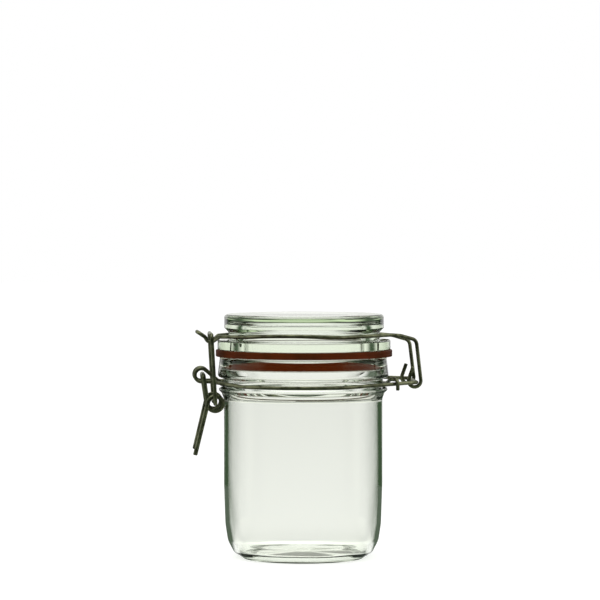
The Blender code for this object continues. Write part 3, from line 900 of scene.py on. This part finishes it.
def bendWire(name, path, diameter, finish, body, node):
    # the path becomes a chain of edges, the tree makes the wire and a plain mesh is kept
    chain = bpy.data.meshes.new(name + "Path")
    chain.from_pydata([tuple(p) for p in path], [(i, i + 1) for i in range(len(path) - 1)], [])
    holder = bpy.data.objects.new(name + "Path", chain)
    scene.collection.objects.link(holder)
    maker = holder.modifiers.new("wire", "NODES")
    maker.node_group = wireTree(name + "Tree", finish)
    setInput(maker, "Wire Radius", diameter / 2)
    setInput(maker, "Facet Length", wireLook["spacing"])
    setInput(maker, "Sides", wireLook["sides"])
    setInput(maker, "Tip Chamfer", wireLook["tipChamfer"])
    bpy.context.view_layer.update()
    ready = holder.evaluated_get(bpy.context.evaluated_depsgraph_get())
    made = bpy.data.meshes.new_from_object(ready)
    made.name = name
    made.set_sharp_from_angle(angle=wireLook["sharp"])
    bpy.data.objects.remove(holder, do_unlink=True)
    addPiece(name, made, None, body, node)


def plain(points):
    # points that get no rounding
    return [(point, 0.0) for point in points]


def arcRound(radius, first, last, zFirst, zLast, step=math.radians(2)):
    # an arc about the jar's axis, both ends included
    count = max(1, math.ceil(abs(last - first) / step))
    angles = [first + (last - first) * k / count for k in range(count + 1)]
    return [Vector((radius * math.cos(a), radius * math.sin(a), zFirst + (zLast - zFirst) * k / count))
            for k, a in enumerate(angles)]


def coilRound(centre, radius, first, last, yFirst, yLast, step=math.radians(6)):
    # a helix about an axis along Y
    count = max(2, math.ceil(abs(last - first) / step))
    angles = [first + (last - first) * k / count for k in range(count + 1)]
    return [Vector((centre.x + radius * math.cos(a), yFirst + (yLast - yFirst) * k / count,
                    centre.y + radius * math.sin(a))) for k, a in enumerate(angles)]


def touchAngle(radius, x, y, turn):
    # where a straight run from (x, y) meets a circle about the origin, on one side or the other
    return math.atan2(y, x) + turn * math.acos(radius / math.hypot(x, y))


def touchAbout(centre, radius, x, z, turn):
    # the same in the plane of X and Z
    return touchAngle(radius, x - centre.x, z - centre.y, turn)


def at(place, y):
    # a place in the plane of X and Z, put at y
    return Vector((place.x, y, place.y))


def sided(half, side):
    # side is -1 for the half nearer the camera, +1 for the other
    return [(Vector((p.x, side * p.y, p.z)), bend) for p, bend in half]


def rounded(path):
    return filleted(path, step=math.radians(6), fewest=4)


clamp = {
    "bandWire": 2.0 * mm,
    "lidWire": 2.0 * mm,
    "linkWire": 2.1 * mm,
    "leverWire": 2.4 * mm,
    "runningGap": 0.3 * mm,
    "sideGap": 0.4 * mm,
    "bandRadius": 44.7 * mm,
    "bandZ": 94.0 * mm,
    "frameBend": 2.6 * mm,     # the band's frame at the hinge
    "framePlay": 1.0 * mm,
    "tailBack": 13.3 * mm,     # the band's near end: where it crosses its strand, how far in, how far down
    "tailIn": 5.0 * mm,
    "tailDrop": 3.4 * mm,
    "tailBend": 6.0 * mm,
    "farMiddle": math.radians(115),
    "farLap": math.radians(28),     # how far the band's other end runs on over the first
    "ringRadius": 42.4 * mm,
    "ringZ": 120.4 * mm,
    "ringBow": 0.9 * mm,       # how much higher the ring stands half way along each side
    "legY": 18.2 * mm,
    "legTop": 22.6 * mm,
    "legBend": 3.5 * mm,
    "legRise": ((0.22, 0.4 * mm), (0.36, 0.9 * mm)),    # shares of the way in, and heights over the ring
    "riseBend": 12 * mm,
    "hookRadius": 3.3 * mm,
    "hookShift": Vector((-0.8, 0.7)) * mm,
    "stub": 7.8 * mm,
    "stubLean": math.radians(17),
    "farSag": 1.6 * mm,        # how much lower the far leg is
    "ringSag": 1.1 * mm,       # and the far end of the ring
    "prongOut": 10.6 * mm,
    "prongDrop": 26.8 * mm,
    "prongUneven": 0.7 * mm,   # the near prong is longer than the middle by this, the far one shorter
    "pivotBend": 2.0 * mm,
    "linkLean": 2.1 * mm,
    "linkBends": (1.6 * mm, 2.5 * mm),
    "pinPlay": 0.8 * mm,       # the link's ends stop this far past the lever's arms
    "eye": Vector((-55.7, 99.2)) * mm,
    "eyeRadius": 3.5 * mm,
    "eyeInner": 5.0 * mm,
    "eyeOuter": 7.3 * mm,
    "eyeRun": 1.4,             # the wire runs on this many eye radii before it turns back
    "pivot": Vector((-54.8, 99.2)) * mm,
    "coil": Vector((-48.5, 84.1)) * mm,
    "coilRadius": 4.0 * mm,
    "hinge": Vector((59.05, 95.7)) * mm,
    "barRoom": 1.95 * mm,
    "flangeRoom": 1.0 * mm,    # between the lid's flange and the wire where it leaves the ring
    "crookDrop": 3.3 * mm,     # the nose's pocket: below the ring, in from the link's bar, half width
    "crookIn": 1.0 * mm,
    "crookHalf": 5.2 * mm,
    "noseBends": (2.0 * mm, 1.6 * mm),
    # the nose past its pocket: further out, half width, height over the pocket, bend
    "nose": ((2.6 * mm, 4.8 * mm, 0.1 * mm, 1.3 * mm), (3.9 * mm, 4.5 * mm, 2.4 * mm, 1.6 * mm),
             (8.2 * mm, 4.0 * mm, 5.25 * mm, 3.8 * mm)),
}
clamp["arm"] = clamp["eyeOuter"] + (clamp["bandWire"] + clamp["leverWire"]) / 2 + clamp["sideGap"]
clamp["prong"] = clamp["arm"] + clamp["leverWire"] + clamp["runningGap"]
clamp["link"] = clamp["prong"] + (clamp["leverWire"] + clamp["linkWire"]) / 2 + clamp["sideGap"]
clamp["crookZ"] = clamp["ringZ"] - clamp["crookDrop"]
clamp["bar"] = Vector((clamp["coil"].x - clamp["linkLean"],
                       clamp["crookZ"] + (clamp["lidWire"] + clamp["linkWire"]) / 2 + clamp["barRoom"]))


def bandEye():
    # the far eye, from the band's front to where the wire heads back for the groove
    c = clamp
    into = at(Vector((-math.sqrt(c["bandRadius"] ** 2 - c["eyeInner"] ** 2), c["bandZ"])), c["eyeInner"])
    leave = touchAbout(c["eye"], c["eyeRadius"], into.x, into.z, 1) % math.tau
    loop = coilRound(c["eye"], c["eyeRadius"], leave, 1.5 * math.pi, c["eyeInner"], c["eyeOuter"])
    bend = Vector((c["eye"].x + c["eyeRun"] * c["eyeRadius"], c["eyeOuter"],
                   c["eye"].y - c["eyeRadius"]))
    return [(into, c["bandWire"])] + plain(loop) + [(bend, c["eyeRadius"])]


def bandPath():
    # from the tail over the near strand, round the far side, through both eyes and the hinge frame
    c = clamp
    wire, lowZ = c["bandWire"], c["bandZ"]
    step = wire + c["runningGap"]
    frameY = c["legY"] + (c["lidWire"] + wire) / 2 + c["framePlay"]
    eyeLoop = bandEye()
    gate = eyeLoop[-1][0]
    eyeTouch = touchAngle(c["bandRadius"], gate.x, gate.y, -1) % math.tau
    frameTouch = touchAngle(c["bandRadius"], c["hinge"].x, frameY, 1)
    touch = Vector((c["bandRadius"] * math.cos(frameTouch), -c["bandRadius"] * math.sin(frameTouch), lowZ))
    corner = at(c["hinge"], -frameY)
    strand = (corner - touch).normalized()
    tail = corner - strand * c["tailBack"]
    across = Vector((strand.y, -strand.x, 0)).normalized()
    lift = Vector((0, 0, step))
    tailIn = tail - across * c["tailIn"] + lift
    backTouch = touchAngle(c["bandRadius"], tailIn.x, tailIn.y, 1)
    path = [(tail + across * step - Vector((0, 0, c["tailDrop"])), 0.0),
            (tail + across * step + lift, step), (tailIn, c["tailBend"])]
    path += plain(arcRound(c["bandRadius"], backTouch, c["farMiddle"], lowZ, lowZ))
    path += plain(arcRound(c["bandRadius"], c["farMiddle"], eyeTouch, lowZ, lowZ)[1:])
    path += list(reversed(eyeLoop))
    path += plain([Vector((-c["bandRadius"], 0.0, lowZ))])
    path += sided(eyeLoop, -1)
    path += plain(arcRound(c["bandRadius"], -eyeTouch, -frameTouch, lowZ, lowZ))
    path += [(corner, c["frameBend"]), (at(c["hinge"], frameY), c["frameBend"])]
    path += plain(arcRound(c["bandRadius"], frameTouch, frameTouch + c["farLap"], lowZ + step, lowZ + step))
    return rounded(path)


def onRing(a):
    return Vector((clamp["ringRadius"] * math.cos(a), clamp["ringRadius"] * math.sin(a), clamp["ringZ"]))


def lidWireHalf(side, legTop):
    # from the hooked end at the hinge, up the leg and round the ring to the nose
    c = clamp
    legY, hookRadius, lean = c["legY"], c["hookRadius"], c["stubLean"]
    hook = c["hinge"] + c["hookShift"]
    top = Vector((c["hinge"].x, c["hinge"].y + legTop))
    stub = Vector((hook.x - hookRadius * math.cos(lean) + c["stub"] * math.sin(lean),
                   hook.y + c["stub"] * math.cos(lean)))
    into = touchAbout(hook, hookRadius, stub.x, stub.y, 1)
    out = touchAbout(hook, hookRadius, top.x, top.y, -1) + math.tau
    half = [(at(stub, legY), 0.0)] + plain(coilRound(hook, hookRadius, into, out, legY, legY))
    legEnd = at(top, legY)
    half += [(legEnd, c["legBend"])]
    ringTouch = touchAngle(c["ringRadius"], top.x, legY, 1)
    start = onRing(ringTouch)
    sag, startSag = (c["farSag"], c["ringSag"]) if side > 0 else (0.0, 0.0)
    for share, lift in c["legRise"]:
        place = legEnd.lerp(start, share)
        place.z = c["ringZ"] + lift - sag
        half += [(place, c["riseBend"])]
    crook = Vector((c["bar"].x + c["crookIn"], c["crookHalf"], c["crookZ"]))
    noseTouch = touchAngle(c["ringRadius"], crook.x, crook.y, -1) % math.tau
    arc = arcRound(c["ringRadius"], ringTouch, noseTouch, c["ringZ"], c["ringZ"])
    for k, point in enumerate(arc):
        along = k / (len(arc) - 1)
        point.z += c["ringBow"] * math.sin(math.pi * along) - startSag * max(0.0, 1 - 2 * along)
    half += plain(arc)
    leaving = onRing(noseTouch)
    pastFlange = math.sqrt((lid["flangeRadius"] + c["runningGap"]) ** 2 - c["ringRadius"] ** 2)
    beside = leaving.lerp(crook, pastFlange / (crook.xy - leaving.xy).length)
    beside.z = lid["neckZ"] + c["lidWire"] / 2 + c["flangeRoom"]
    half += [(beside, c["noseBends"][0]), (crook, c["noseBends"][1])]
    half += [(Vector((crook.x - out, y, c["crookZ"] + up)), bend) for out, y, up, bend in c["nose"]]
    return sided(half, side)


def lidWirePath():
    near = lidWireHalf(-1, clamp["legTop"])
    far = lidWireHalf(1, clamp["legTop"] - clamp["farSag"])
    return rounded(far + list(reversed(near)))


def leverHalf(side, drop):
    # drop is how far the prong reaches below the coil
    c = clamp
    tip = Vector((c["coil"].x - c["prongOut"] * drop / c["prongDrop"], c["coil"].y - drop))
    into = touchAbout(c["coil"], c["coilRadius"], tip.x, tip.y, -1) % math.tau
    out = touchAbout(c["coil"], c["coilRadius"], c["pivot"].x, c["pivot"].y, 1) % math.tau - math.tau
    half = [(at(tip, c["prong"]), 0.0)]
    half += plain(coilRound(c["coil"], c["coilRadius"], into, out, c["prong"], c["arm"]))
    half += [(at(c["pivot"], c["arm"]), c["pivotBend"])]
    return sided(half, side)


def leverPath():
    near = leverHalf(-1, clamp["prongDrop"] + clamp["prongUneven"])
    far = leverHalf(1, clamp["prongDrop"] - clamp["prongUneven"])
    return rounded(far + list(reversed(near)))


def linkPath():
    c = clamp
    pinEnd = c["arm"] - c["leverWire"] / 2 - c["pinPlay"]
    foot, top = c["linkBends"]
    half = [(at(c["coil"], pinEnd), 0.0), (at(c["coil"], c["link"]), foot), (at(c["bar"], c["link"]), top)]
    return rounded(half + list(reversed(sided(half, -1))))


bendWire("neckBandWire", bandPath(), clamp["bandWire"], steelFinish("bandSteel", 0.0),
         "jar", "neck_band")
bendWire("lidBailWire", lidWirePath(), clamp["lidWire"], steelFinish("bailSteel", 0.3),
         "bail", "lid_wire")
bendWire("leverWire", leverPath(), clamp["leverWire"], steelFinish("leverSteel", 0.6),
         "lever", "latch_lever")
bendWire("linkWire", linkPath(), clamp["linkWire"], steelFinish("linkSteel", 0.9),
         "link", "latch_link")
print("wires bent")
